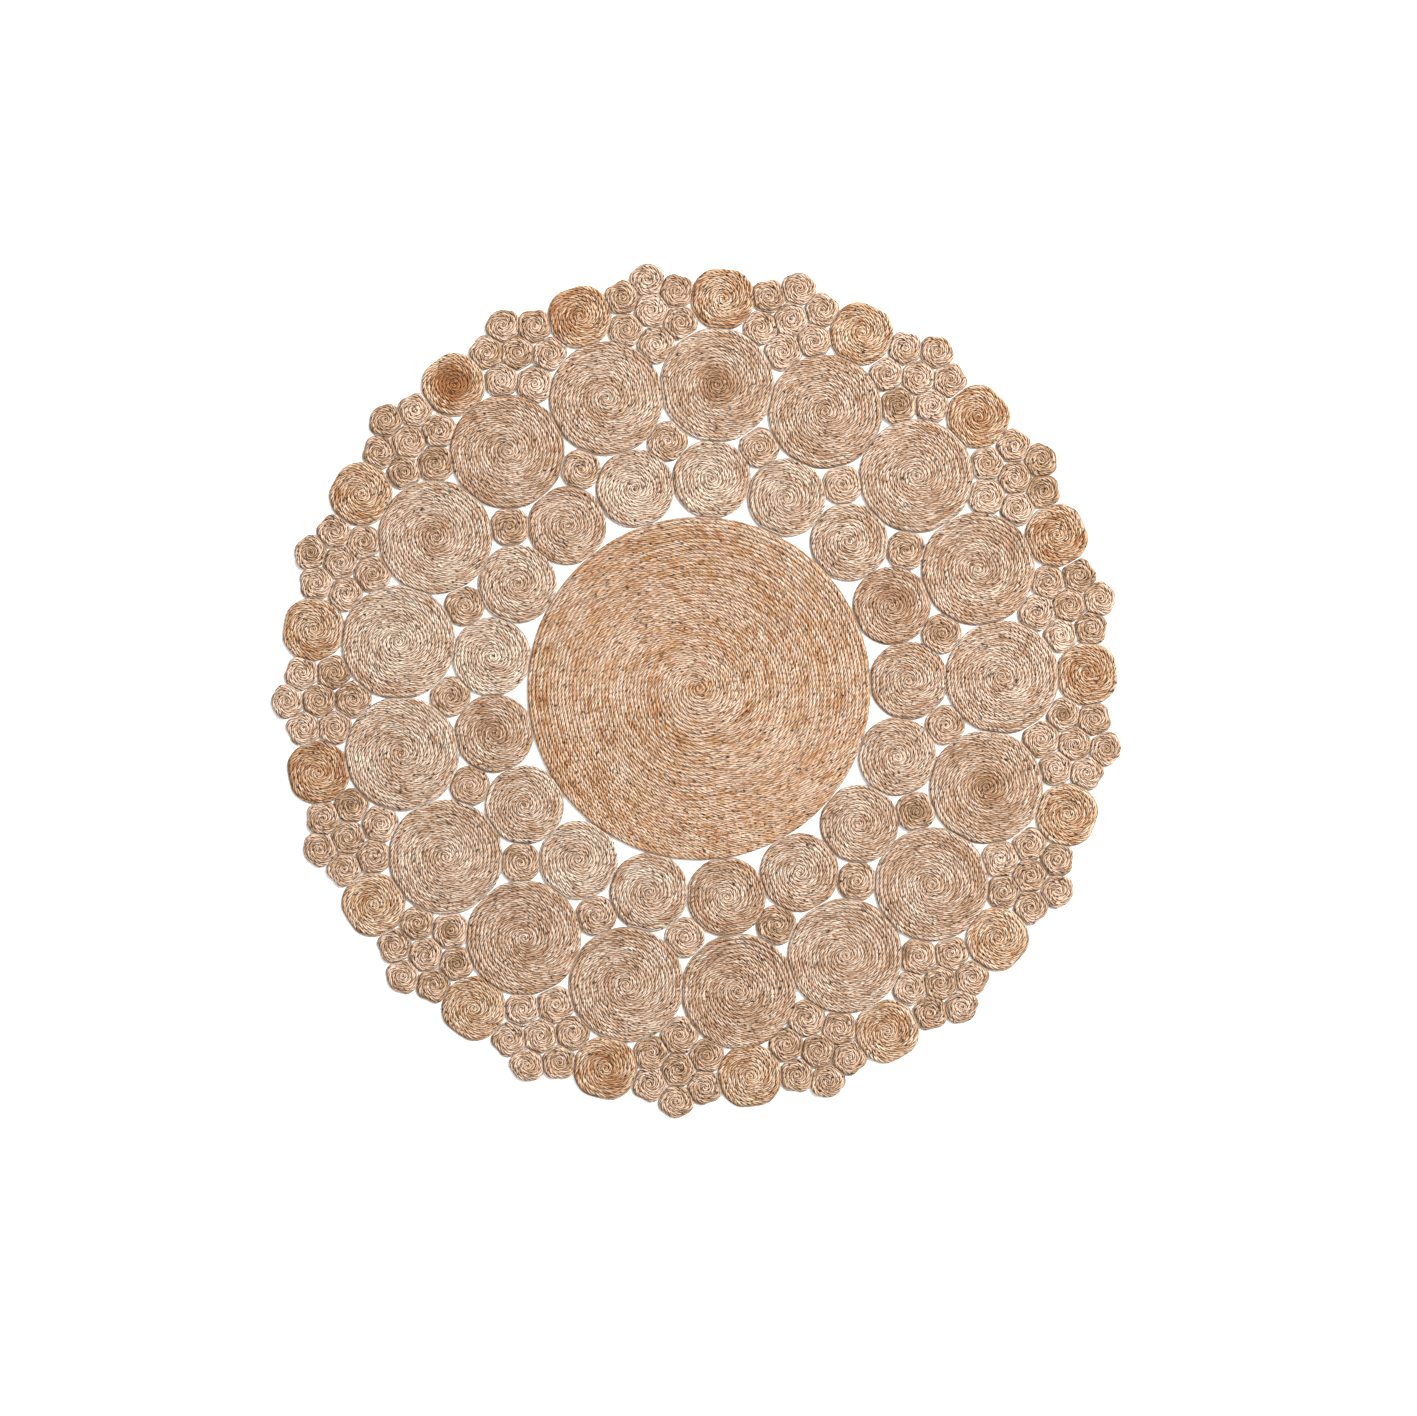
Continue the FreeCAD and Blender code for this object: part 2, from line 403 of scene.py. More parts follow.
    def cover(
        self,
        place: StrandPlace,
        colour: Socket,
        drift: Socket,
        stops: tuple[tuple[float, float], ...],
        over: str,
    ) -> Socket:
        """Lay one colour over another where a value is high.

        Args:
            place: Where the point lies on the rope.
            colour: The colour beneath.
            drift: The value that says where.
            stops: How much of the upper colour each value gives.
            over: The upper colour, in hex.

        Returns:
            The mixed colour.
        """
        mask = add_node(place.tree, "ShaderNodeValToRGB", links={"Fac": drift}, stops=greys(stops))
        settings = {"data_type": "RGBA", "blend_type": "MIX", 7: linear(over)}
        links = {0: mask.outputs["Color"], 6: colour}
        return add_node(place.tree, "ShaderNodeMix", settings, links).outputs[2]

    def girth_in(self, place: StrandPlace, width: float) -> Socket:
        """Return the place around the rope, counted in patches of one width."""
        settings = {"operation": "MULTIPLY", 1: self.girth / width}
        return add_node(place.tree, "ShaderNodeMath", settings, {0: place.around}).outputs[0]

    def fibres(self, place: StrandPlace) -> Socket:
        """Draw the fine streaks of the fibre bundles, which run at a slant to the strand.

        Args:
            place: Where the point lies on the rope.

        Returns:
            The streaks, from 0 to 1.
        """
        settings = {"operation": "MULTIPLY_ADD", 1: self.fibre_slant}
        links = {0: place.along, 2: self.girth_in(place, self.fibre_width)}
        skewed = add_node(place.tree, "ShaderNodeMath", settings, links)
        return place.drift(self.fibre_length, skewed.outputs[0], FINE)

    def shade(self, place: StrandPlace, colour: Socket, fibre: Socket) -> Socket:
        """Paint shade into the jute's colour in the grooves between strands and in the seams between
        turns and coils, and streak it with fibres.

        Args:
            place: Where the point lies on the rope.
            colour: The colour of the jute.
            fibre: The streaks of the fibre bundles.

        Returns:
            The shaded colour.
        """
        tree = place.tree
        # Painted shadow that deepens the groove shade in some stretches, as if the groove gapes.
        settings = {"operation": "MULTIPLY", 1: self.gap_shadow_apart}
        apart = add_node(tree, "ShaderNodeMath", settings, {0: place.around})
        gaps = place.drift(self.gap_shadow_length, apart.outputs[0], PLAIN)
        settings = {"operation": "MULTIPLY_ADD", 1: self.gap_shadow_share, 2: -self.gap_shadow_share / 2}
        opened = add_node(tree, "ShaderNodeMath", settings, {0: gaps})
        links = {0: place.off_crest, 1: opened}
        depth = add_node(tree, "ShaderNodeMath", {"operation": "ADD"}, links)
        # Painted shade in every groove between strands.
        stops = greys(self.groove_shade)
        groove = add_node(tree, "ShaderNodeValToRGB", links={"Fac": depth}, stops=stops)
        # Painted shade in the seams between turns and around coils; the darker painted shade of groove
        # and seam mixes in the shade colour.
        seam = add_node(tree, "ShaderNodeAttribute", {"attribute_name": SEAM_SHADE})
        links = {0: groove.outputs["Color"], 1: seam.outputs["Fac"]}
        painted_shade = add_node(tree, "ShaderNodeMath", {"operation": "MAXIMUM"}, links)
        settings = {"data_type": "RGBA", "blend_type": "MIX", 7: linear(self.seam)}
        shaded_colour = add_node(tree, "ShaderNodeMix", settings, {0: painted_shade, 6: colour})
        stops = greys(self.fibre_shade)
        streak = add_node(tree, "ShaderNodeValToRGB", links={"Fac": fibre}, stops=stops)
        settings = {"data_type": "RGBA", "blend_type": "MULTIPLY", 0: 1.0}
        links = {6: shaded_colour.outputs[2], 7: streak.outputs["Color"]}
        return add_node(tree, "ShaderNodeMix", settings, links).outputs[2]

    def specks(self, place: StrandPlace, colour: Socket) -> Socket:
        """Return the colour with specks of stalk bark caught in the yarn."""
        bark = place.drift(self.speck_length, self.girth_in(place, self.speck), FINE)
        return self.cover(place, colour, bark, self.speck_cover, self.bark)


@dataclass
class Coil:
    """One spiral of rope, as the frame places it, and the coils that it presses against."""

    centre: Vector
    radius: float
    height: float
    winding: Winding
    presses: list["Coil"] = field(default_factory=list)

    def swell(self) -> float:
        """Return how far the coil spreads into the open spaces beside it."""
        return SWELL[self.winding]

    def meet(self, others: list["Coil"]) -> None:
        """Note which coils this one presses against.

        Args:
            others: Every coil of the rug.
        """
        for other in others:
            apart = (other.centre - self.centre).xy.length - self.radius - other.radius
            if other is not self and apart < self.swell() + other.swell():
                self.presses.append(other)

    def outline(self, angle: np.ndarray) -> np.ndarray:
        """Return the coil's edge, spread where it is free and flat where it is pressed.

        Args:
            angle: Bearings from the coil's centre.

        Returns:
            The distance from the centre to the edge at each bearing.
        """
        spread = self.radius + self.swell()
        weight = np.ones_like(angle)
        closest = np.full_like(angle, -1.0)
        for other in self.presses:
            across = (other.centre - self.centre).xy
            apart = across.length
            theirs = other.radius + other.swell()
            line = (apart**2 + spread**2 - theirs**2) / (2 * apart)
            facing = np.cos(angle - math.atan2(across.y, across.x))
            closest = np.maximum(closest, facing)
            limit = line / np.maximum(facing, line / (spread + FARTHEST))
            weight += np.exp((spread - limit) / CORNER)
        free = np.clip((OPEN_FROM - closest) / (OPEN_FROM - OPEN_AT), 0, 1)
        return spread - CORNER * np.log(weight) - self.swell() * free * free * (3 - 2 * free)


def make_section(name: str, strands: int, reach: float, groove: float) -> bpy.types.Object:
    """Make a cross-section of round strands, with a groove between each two.

    Args:
        name: The section's name.
        strands: How many strands lie side by side.
        reach: From the middle to a strand's crest.
        groove: From the middle to a groove, as a share of that.

    Returns:
        A closed curve, for the bevel of another curve.
    """
    curve = bpy.data.curves.new(name, "CURVE")
    curve.dimensions = "2D"
    count = strands * POINTS_PER_STRAND
    spline = curve.splines.new("POLY")
    spline.points.add(count - 1)
    for number, point in enumerate(spline.points):
        turn = FULL_TURN * number / count
        size = reach * (groove if number % POINTS_PER_STRAND == 0 else 1.0)
        point.co = (size * math.cos(turn), size * math.sin(turn), 0, 1)
    spline.use_cyclic_u = True
    section = bpy.data.objects.new(name, curve)
    bpy.context.scene.collection.objects.link(section)
    return section


def start_route(name: str) -> bpy.types.Curve:
    """Start the curve that a piece's rope or twine follows.

    Args:
        name: The piece's name.

    Returns:
        The curve, with nothing in it yet.
    """
    route = bpy.data.curves.new(name, "CURVE")
    route.dimensions = "3D"
    route.twist_mode = "Z_UP"
    return route


def add_length(
    route: bpy.types.Curve, places: np.ndarray, shares: np.ndarray, tilts: np.ndarray
) -> None:
    """Add one length of rope or twine to a route.

    Args:
        route: The curve to add to.
        places: The middle of each ring.
        shares: The share of the full thickness there.
        tilts: How far the strands have turned there.
    """
    spline = route.splines.new("POLY")
    spline.points.add(len(places) - 1)
    weighted = np.concatenate([places, np.ones((len(places), 1))], axis=1)
    spline.points.foreach_set("co", weighted.ravel().astype(np.float32))
    spline.points.foreach_set("radius", shares.astype(np.float32))
    spline.points.foreach_set("tilt", tilts.astype(np.float32))
    spline.use_smooth = True


def sweep(route: bpy.types.Curve, section: bpy.types.Object) -> bpy.types.Object:
    """Sweep a section along every length of a route.

    Args:
        route: The curve to follow.
        section: The closed curve to sweep.

    Returns:
        The swept piece, a mesh at the origin.
    """
    route.bevel_mode = "OBJECT"
    route.bevel_object = section
    piece = bpy.data.objects.new(route.name, route)
    bpy.context.scene.collection.objects.link(piece)
    select_only(piece)
    bpy.ops.object.convert(target="MESH")
    return bpy.context.view_layer.objects.active


def close_up(piece: bpy.types.Object, merge: float, flatness: float = 1.0) -> None:
    """Close the ends of every length, turn the faces outwards and round the shading.

    Args:
        piece: The swept piece.
        merge: How near two points become one.
        flatness: The share of its height that the piece keeps.
    """
    select_only(piece)
    bpy.ops.object.mode_set(mode="EDIT")
    bpy.ops.mesh.select_all(action="SELECT")
    if flatness < 1:
        bpy.ops.transform.resize(value=(1, 1, flatness), center_override=(0, 0, 0))
    bpy.ops.mesh.remove_doubles(threshold=merge)
    bpy.ops.mesh.normals_make_consistent(inside=False)
    bpy.ops.object.mode_set(mode="OBJECT")
    bpy.ops.object.shade_smooth()


def dress(pieces: list[bpy.types.Object], material: bpy.types.Material) -> None:
    """Give pieces their finish and their body, and report them.

    Args:
        pieces: The finished pieces.
        material: Their finish.
    """
    for piece in pieces:
        piece.data.materials.clear()
        piece.data.materials.append(material)
        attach(piece, BODY)
        LOG.info("%s: %d faces, finish %s", piece.name, len(piece.data.polygons), material.name)


@dataclass
class Rope:
    """Four-strand jute rope, laid right-handed, and how it is wound into a coil."""

    width: float
    strands: int = 4
    # The strands go once around the rope in this length, which gives bumps a quarter as far apart.
    lay: float = 41 * MM
    # The rope's own thickness is this much more than the room that each turn takes.
    fullness: float = 1.21
    groove: float = 0.56
    # Rope underfoot is pressed a little flat.
    flatness: float = 0.85
    step: float = 4.3 * MM
    tightest_step: float = math.radians(24)
    # The rope starts this share of its width from the coil's middle, and thinner by this share.
    heart: float = 0.05
    heart_taper: float = 0.55
    # The tail thins to nothing and sinks towards the floor, this share of the way at the least.
    tail_turns: float = 0.94
    tail_height: float = 0.45
    # Each end closes over this length, and points nearer than the other become one.
    end_gap: float = 0.01 * MM
    merge: float = 0.0005 * MM
    # How much the thickness, the height, the place and the twist wander, and over what length.
    unevenness: float = 0.09
    unevenness_length: float = 15 * MM
    lift: float = 0.7 * MM
    lift_length: float = 60 * MM
    sway: float = 0.4 * MM
    sway_length: float = 45 * MM
    slack: float = 0.5
    slack_length: float = 90 * MM
    # How far the jute's tone changes from coil to coil, and along the rope.
    coil_change: float = 0.9
    batch_change: float = 2.0
    batch_length: float = 650 * MM
    stalk_change: float = 1.4
    stalk_length: float = 110 * MM
    # A few coils begin with rust-coloured jute, which gives way to straw within a few turns.
    heart_rust: float = 4.5
    heart_rust_rarity: float = 0.9
    heart_rust_length: float = 700 * MM
    heart_rust_share: float = 0.3

    def profile_points(self) -> int:
        """Return how many points go around the rope."""
        return self.strands * POINTS_PER_STRAND

    def make_profile(self) -> bpy.types.Object:
        """Make the rope's cross-section."""
        return make_section("rope_profile", self.strands, self.fullness * self.width / 2, self.groove)

    def turns_of(self, coil: Coil) -> tuple[np.ndarray, np.ndarray, np.ndarray]:
        """Wind the spiral from its heart to its tail.

        Args:
            coil: The coil to fill with rope.

        Returns:
            For each ring, the angle turned, the distance from the coil's centre, and the share
            of the rope's full width there.
        """
        width = self.width
        full = FULL_TURN * (coil.radius / width - self.heart - 0.5)
        last = full + FULL_TURN * self.tail_turns
        turned, reach, share = [], [], []
        angle = 0.0
        while True:
            outer = min(width * (self.heart + 0.5 + angle / FULL_TURN), coil.radius)
            tail = max(0.0, (angle - full) / FULL_TURN)
            ease = min(1.0, angle / math.pi)
            thick = (self.heart_taper + (1 - self.heart_taper) * ease) * (1 - tail)
            turned.append(angle)
            reach.append(outer - thick * width / 2)
            share.append(thick)
            if angle >= last:
                break
            angle = min(angle + min(self.step / reach[-1], self.tightest_step), last)
        return np.array(turned), np.array(reach), np.array(share)

    def draw_tone(self, rng: np.random.Generator, along: np.ndarray, bias: float) -> np.ndarray:
        """Draw how pale a coil's jute is along its rope.

        Args:
            rng: The coil's own random numbers.
            along: Distance along the rope of each ring, in metres.
            bias: How pale the coil is beside the rest of its finish.

        Returns:
            The tone of each ring, which is high where the jute is pale.
        """
        tone = bias + rng.normal(0, self.coil_change)
        tone = tone + self.batch_change * knots(rng, along, self.batch_length)
        tone = tone + self.stalk_change * knots(rng, along, self.stalk_length)
        rusty = self.heart_rust * max(rng.normal(-self.heart_rust_rarity, 1), 0)
        rusty_length = min(self.heart_rust_length, self.heart_rust_share * along[-1])
        return tone - rusty * np.exp(-((along / rusty_length) ** 2))


def knots(rng: np.random.Generator, along: np.ndarray, length: float) -> np.ndarray:
    """Draw slow random change along a rope.

    Args:
        rng: The coil's own random numbers.
        along: Distance along the rope of each ring, in metres.
        length: How far apart the random values are.

    Returns:
        A value from about -1 to 1 for each ring.
    """
    count = int(along[-1] / length) + 3
    values = rng.uniform(-1, 1, count)
    return np.interp(along / length, np.arange(count), values)


@dataclass
class Laid:
    """The rings of one coil's rope, ready to become a curve.

    Each ring has its middle, its share of the rope's thickness, how far the strands have
    turned, its distance along the rope, its tone, and 1 if it lies in the coil's last turn.
    """

    centre: np.ndarray
    middle: np.ndarray
    share: np.ndarray
    tilt: np.ndarray
    along: np.ndarray
    tone: np.ndarray
    edge: np.ndarray

    def cut(self, first: int, last: int) -> "Laid":
        """Return the rope from one ring to another, both included."""
        keep = slice(first, last + 1)
        rings = {name: values[keep] for name, values in vars(self).items() if name != "centre"}
        return replace(self, **rings)


@dataclass
class Winder:
    """Lays rope into coils, each with its own small unevenness."""

    rope: Rope
    # How widely a coil's heart strays, and how oval its turns are, as shares of its radius.
    heart_shift: float = 0.07
    oval: float = 0.024
    lobes: tuple[int, ...] = (1, 2, 3, 5)
    # Only the outer turns spread with the coil's edge.
    spread_power: int = 3
    # Each coil's rope is cut from another place, up to this many metres on.
    rope_apart: float = 13.7

    def push_turns(
        self, rng: np.random.Generator, coil: Coil, angle: np.ndarray, reach: np.ndarray
    ) -> np.ndarray:
        """Push the turns off round, most half-way out, and not at all at the coil's edge.

        Args:
            rng: The coil's own random numbers.
            coil: The coil to fill.
            angle: Each ring's bearing from the coil's centre.
            reach: Each ring's distance from it.

        Returns:
            The new distances.
        """
        inward = 1 - (reach / coil.radius) ** 2
        for lobe in self.lobes:
            size = self.heart_shift if lobe == 1 else self.oval / lobe
            phase = rng.uniform(0, FULL_TURN)
            push = rng.normal(0, size) * coil.radius
            reach = reach + push * inward * (reach / coil.radius) * np.cos(lobe * angle + phase)
        return reach

    def lay(self, coil: Coil, seed: int, bias: float) -> Laid:
        """Lay the rope of one coil.

        Args:
            coil: The coil to fill.
            seed: Sets the coil's own unevenness.
            bias: How pale its rope is beside the rest of its finish, from -1 to 1.

        Returns:
            The rope's rings.
        """
        rng = np.random.default_rng(seed)
        rope = self.rope
        turned, reach, share = rope.turns_of(coil)
        angle = rng.uniform(0, FULL_TURN) - turned
        steps = np.hypot(np.diff(reach), np.diff(turned) * (reach[1:] + reach[:-1]) / 2)
        along = np.concatenate([[0.0], np.cumsum(steps)])
        reach = self.push_turns(rng, coil, angle, reach)
        calm = np.clip((coil.radius - rope.width - reach) / rope.width, 0, 1)
        sway = rope.sway * LOOSENESS[coil.winding]
        reach = reach + sway * knots(rng, along, rope.sway_length) * calm
        proud = (rope.fullness - 1) * rope.width / 2
        spread = coil.outline(angle) - coil.radius - proud
        depth = np.clip(reach / coil.radius, 0, 1) ** self.spread_power
        share = share * (1 + self.spread_power * spread * depth / np.maximum(reach, rope.width))
        reach = reach + spread * depth
        uneven = 1 + rope.unevenness * knots(rng, along, rope.unevenness_length)
        rise = rope.lift * (0.5 + 0.5 * knots(rng, along, rope.lift_length))
        thick = share * uneven
        settled = np.where(thick > 1, thick, rope.tail_height + (1 - rope.tail_height) * thick)
        height = rope.fullness * rope.width / 2 * settled + rise * share
        tone = rope.draw_tone(rng, along, bias)
        edge = (turned > turned[-1] - FULL_TURN).astype(float)
        middle = np.stack(
            [
                coil.centre.x + reach * np.cos(angle),
                coil.centre.y + reach * np.sin(angle),
                height,
            ],
            axis=1,
        )
        slack = rope.slack * knots(rng, along, rope.slack_length)
        tilt = rng.uniform(0, FULL_TURN) + FULL_TURN * along / rope.lay + slack
        return Laid(
            np.array([coil.centre.x, coil.centre.y, coil.height / 2]),
            middle,
            thick,
            tilt,
            along + rng.uniform(0, 1) * self.rope_apart,
            tone,
            edge,
        )


@dataclass
class RopePiece:
    """One or more coils of rope as one mesh."""

    name: str
    ropes: list[Laid]
    make: Rope
    profile: bpy.types.Object
    # The square map for baking gives the top and the underside these shares of its side, and
    # leaves room for what laps round the rope past its widest.
    top_share: float = 0.66
    underside_share: float = 0.32
    margin: float = 0.005
    lap: float = math.radians(33)
    # How dark the painted shade is in the seam between two turns, and around the coil, and how narrow
    # each is.
    turn_seam_shade: float = 0.22
    turn_seam_shade_power: int = 3
    coil_seam_shade: float = 0.5
    coil_seam_shade_power: int = 4
    thinnest: float = 0.1

    def build(self) -> bpy.types.Object:
        """Sweep the rope's section along every coil, and close its ends.

        Returns:
            The piece, a mesh at the origin with its rope map and attributes.
        """
        route = start_route(self.name)
        for rope in self.ropes:
            self.add_rope(route, rope)
        piece = sweep(route, self.profile)
        self.write_maps(piece.data)
        close_up(piece, self.make.merge, self.make.flatness)
        return piece

    def add_rope(self, route: bpy.types.Curve, rope: Laid) -> None:
        """Add one coil's rings, with a closing point of no width at each end.

        Args:
            route: The curve that all the piece's coils share.
            rope: The coil's rings.
        """
        gap = self.make.end_gap
        middle = rope.middle
        before = middle[0] - gap * unit(middle[1] - middle[0])
        after = middle[-1] + gap * unit(middle[-1] - middle[-2])
        places = np.concatenate([[before], middle, [after]])
        shares = np.concatenate([[0.0], rope.share, [0.0]])
        add_length(route, places, shares, np.pad(rope.tilt, 1, mode="edge"))

    def joined(self, name: str) -> np.ndarray:
        """Return one value of every ring of the piece, with both closing points of each coil."""
        values = [getattr(rope, name) for rope in self.ropes]
        return np.concatenate(
            [np.pad(each, [(1, 1)] + [(0, 0)] * (each.ndim - 1), mode="edge") for each in values]
        )

    def write_maps(self, mesh: bpy.types.Mesh) -> None:
        """Write the map along the rope, the flat map for baking, the tone and the painted shade of the
        seams.

        Args:
            mesh: The swept mesh, whose points go ring by ring.
        """
        count = self.make.profile_points()
        lengths = [len(rope.along) + 2 for rope in self.ropes]
        heart = np.repeat([rope.centre for rope in self.ropes], lengths, axis=0)
        middle, share = self.joined("middle"), self.joined("share")
        corners = np.empty(len(mesh.loops), np.int32)
        mesh.loops.foreach_get("vertex_index", corners)
        ring, spot = corners // count, corners % count
        faces = spot.reshape(-1, 4)
        wraps = (faces.max(axis=1) == count - 1) & (faces.min(axis=1) == 0)
        around = (faces + count * (wraps[:, None] & (faces == 0))).ravel() / count
        self.add_map(mesh, ROPE_MAP, np.stack([self.joined("along")[ring], around], axis=1))
        place = np.empty(len(mesh.vertices) * 3, np.float32)
        mesh.vertices.foreach_get("co", place)
        place = place.reshape(-1, 3)
        flat = self.flatten(place[corners], middle[ring], heart[ring], share[ring])
        self.add_map(mesh, BAKE_MAP, flat)
        self.add_values(mesh, TONE, np.repeat(self.joined("tone"), count))
        # Painted shade, darkest at the rope's sides where it meets the next turn, and on the outer side
        # of the coil's last turn.
        off = self.off_middle(place, np.repeat(middle, count, axis=0), np.repeat(heart, count, axis=0))
        off = off / (self.make.width / 2 * np.maximum(np.repeat(share, count), self.thinnest))
        between = self.turn_seam_shade * np.minimum(np.abs(off), 1) ** self.turn_seam_shade_power
        outside = self.coil_seam_shade * np.clip(off, 0, 1) ** self.coil_seam_shade_power
        outside = outside * np.repeat(self.joined("edge"), count)
        self.add_values(mesh, SEAM_SHADE, np.maximum(between, outside))

    def add_values(self, mesh: bpy.types.Mesh, name: str, values: np.ndarray) -> None:
        """Give the mesh one number for each point."""
        attribute = mesh.attributes.new(name, "FLOAT", "POINT")
        attribute.data.foreach_set("value", values.astype(np.float32))

    def outward_of(self, middle: np.ndarray, heart: np.ndarray) -> np.ndarray:
        """Return the level direction away from the coil's centre, at each place on the rope."""
        outward = (middle - heart)[:, :2]
        return outward / np.maximum(np.linalg.norm(outward, axis=1), NEARLY_NOTHING)[:, None]

    def off_middle(self, place: np.ndarray, middle: np.ndarray, heart: np.ndarray) -> np.ndarray:
        """Return how far each place is from the rope's middle, away from the coil's centre."""
        return ((place - middle)[:, :2] * self.outward_of(middle, heart)).sum(axis=1)

    def flatten(
        self, place: np.ndarray, middle: np.ndarray, heart: np.ndarray, share: np.ndarray
    ) -> np.ndarray:
        """Unroll the rope's top and underside into two flat pictures of the piece.

        Args:
            place: Each face corner's place.
            middle: The rope's middle there.
            heart: The coil's centre there.
            share: The share of the rope's full width there.

        Returns:
            A place in the square map for each face corner.
        """
        off = self.off_middle(place, middle, heart)
        rise = (place - middle)[:, 2]
        top = np.repeat(rise.reshape(-1, 4).sum(axis=1) >= 0, 4)
        tilted = np.arctan2(off, np.where(top, rise, -rise))
        spread = tilted / (math.pi / 2 + self.lap) * self.make.width / 2 * share
        flat = middle[:, :2] + self.outward_of(middle, heart) * spread[:, None]
        low = flat.min(axis=0)
        flat = (flat - low) / (flat.max(axis=0) - low).max()
        upper = self.margin + flat * self.top_share
        under = 1 - self.margin - self.underside_share + flat * self.underside_share
        return np.where(top[:, None], upper, under)

    def add_map(self, mesh: bpy.types.Mesh, name: str, places: np.ndarray) -> None:
        """Give the mesh one map, the first of them in place of what the sweep left.

        Args:
            mesh: The swept mesh.
            name: The map's name.
            places: Where each face corner lies on the map.
        """
        while mesh.uv_layers and name == ROPE_MAP:
            mesh.uv_layers.remove(mesh.uv_layers[0])
        layer = mesh.uv_layers.new(name=name)
        layer.data.foreach_set("uv", places.ravel().astype(np.float32))


def unit(direction: np.ndarray) -> np.ndarray:
    """Return a direction with length one."""
    return direction / np.linalg.norm(direction)


def solids_of(node: str) -> list[np.ndarray]:
    """Find the separate solids in one CAD node.

    Args:
        node: The node's name.

    Returns:
        The points of each solid, anticlockwise from the east.
    """
    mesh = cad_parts[node].data
    places = np.empty(len(mesh.vertices) * 3, np.float32)
    mesh.vertices.foreach_get("co", places)
    places = places.reshape(-1, 3).astype(float)
    _, same = np.unique(np.round(places / MERGE).astype(np.int64), axis=0, return_inverse=True)
    same = same.ravel()
    corners = np.empty(len(mesh.loops), np.int32)
    mesh.loops.foreach_get("vertex_index", corners)
    triangles = same[corners].reshape(-1, 3)
    label = np.arange(same.max() + 1)
    while True:
        lowest = label[triangles].min(axis=1)
        linked = label.copy()
        np.minimum.at(linked, triangles.ravel(), np.repeat(lowest, 3))
        linked = linked[linked]
        if (linked == label).all():
            break
        label = linked
    found = [places[label[same] == group] for group in np.unique(label)]
    found.sort(key=lambda points: bearing_of(points.mean(axis=0)))
    return found


def bearing_of(place: np.ndarray) -> float:
    """Return a point's bearing about the origin, anticlockwise from the east."""
    return math.atan2(place[1], place[0])


def coil_in(points: np.ndarray, winding: Winding) -> Coil:
    """Return the coil that fills the box around some points.

    Args:
        points: The points of one solid.
        winding: Which part of the rug it is.

    Returns:
        The coil.
    """
    low, high = Vector(points.min(axis=0)), Vector(points.max(axis=0))
    size = high - low
    return Coil((low + high) / 2, (size.x + size.y) / 4, size.z, winding)


@dataclass
class CoilGroup:
    """A ring of like coils, or one coil, with its finish."""

    winding: Winding
    nodes: list[str]
    finish: JuteFinish
    slot: str
    seed: int
    share_of_node: bool = False
    lengths: int = 1
    bias: float = 0.0
    pieces: list[bpy.types.Object] = field(default_factory=list)
    sets: list[tuple[str, list[Coil]]] = field(default_factory=list)

    def find_coils(self) -> list[Coil]:
        """Read the group's coils from the frame, a set for each piece.

        Returns:
            All the group's coils.
        """
        for node in self.nodes:
            coils = [coil_in(points, self.winding) for points in solids_of(node)]
            members = [[coil] for coil in coils] if self.share_of_node else [coils]
            self.sets += [(node, some) for some in members]
        return [coil for _, some in self.sets for coil in some]

    def build(self, winder: Winder, profile: bpy.types.Object) -> None:
        """Wind every coil of the group.

        Args:
            winder: Lays the rope.
            profile: The rope's section.
        """
        for number, (node, members) in enumerate(self.sets, start=1):
            ropes = [
                winder.lay(coil, self.seed + 100 * number + index, self.bias)
                for index, coil in enumerate(members)
            ]
            for part in self.cut(ropes):
                name = f"rope_{self.winding.value}_{len(self.pieces) + 1:02d}"
                piece = RopePiece(name, part, winder.rope, profile).build()
                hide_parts(node)
                self.pieces.append(piece)

    def cut(self, ropes: list[Laid]) -> list[list[Laid]]:
        """Cut one long rope into several lengths of about the same size, end to end.

        Args:
            ropes: The ropes of one piece, or the one that is to be cut.

        Returns:
            The ropes of each piece.
        """
        if self.lengths == 1:
            return [ropes]
        rope = ropes[0]
        ends = np.linspace(0, len(rope.along) - 1, self.lengths + 1).astype(int)
        return [[rope.cut(first, last)] for first, last in zip(ends, ends[1:])]


@dataclass(frozen=True)
class TwineFinish:
    """Two-ply jute sewing twine, waxed, so a little darker and smoother than the rope."""

    name: str = "jute_twine"
    body: str = "#8f6b45"
    shade: str = "#5f4226"
    roughness: float = 0.7
    # Its fibre bundles are 0.2 mm wide, drawn about 0.3 mm wide to show.
    grain: float = 0.3 * MM
    shade_places: tuple[float, float] = (0.35, 0.6)
    bump: float = 0.1 * MM
    bump_strength: float = 0.6

    def material(self) -> bpy.types.Material:
        """Make the twine's material.

        Returns:
            The finished material.
        """
        made = start_material(self.name)
        tree = made.node_tree
        place = add_node(tree, "ShaderNodeTexCoord")
        settings = {"noise_dimensions": "3D", "Scale": 1 / self.grain, "Detail": PLAIN}
        links = {"Vector": place.outputs["Object"]}
        noise = add_node(tree, "ShaderNodeTexNoise", settings, links).outputs["Fac"]
        stops = list(zip(self.shade_places, [linear(self.shade), linear(self.body)]))
        ramp = add_node(tree, "ShaderNodeValToRGB", links={"Fac": noise}, stops=stops)
        relief = (self.bump_strength, self.bump)
        add_surface(tree, {"Roughness": self.roughness}, ramp.outputs["Color"], noise, relief)
        return made


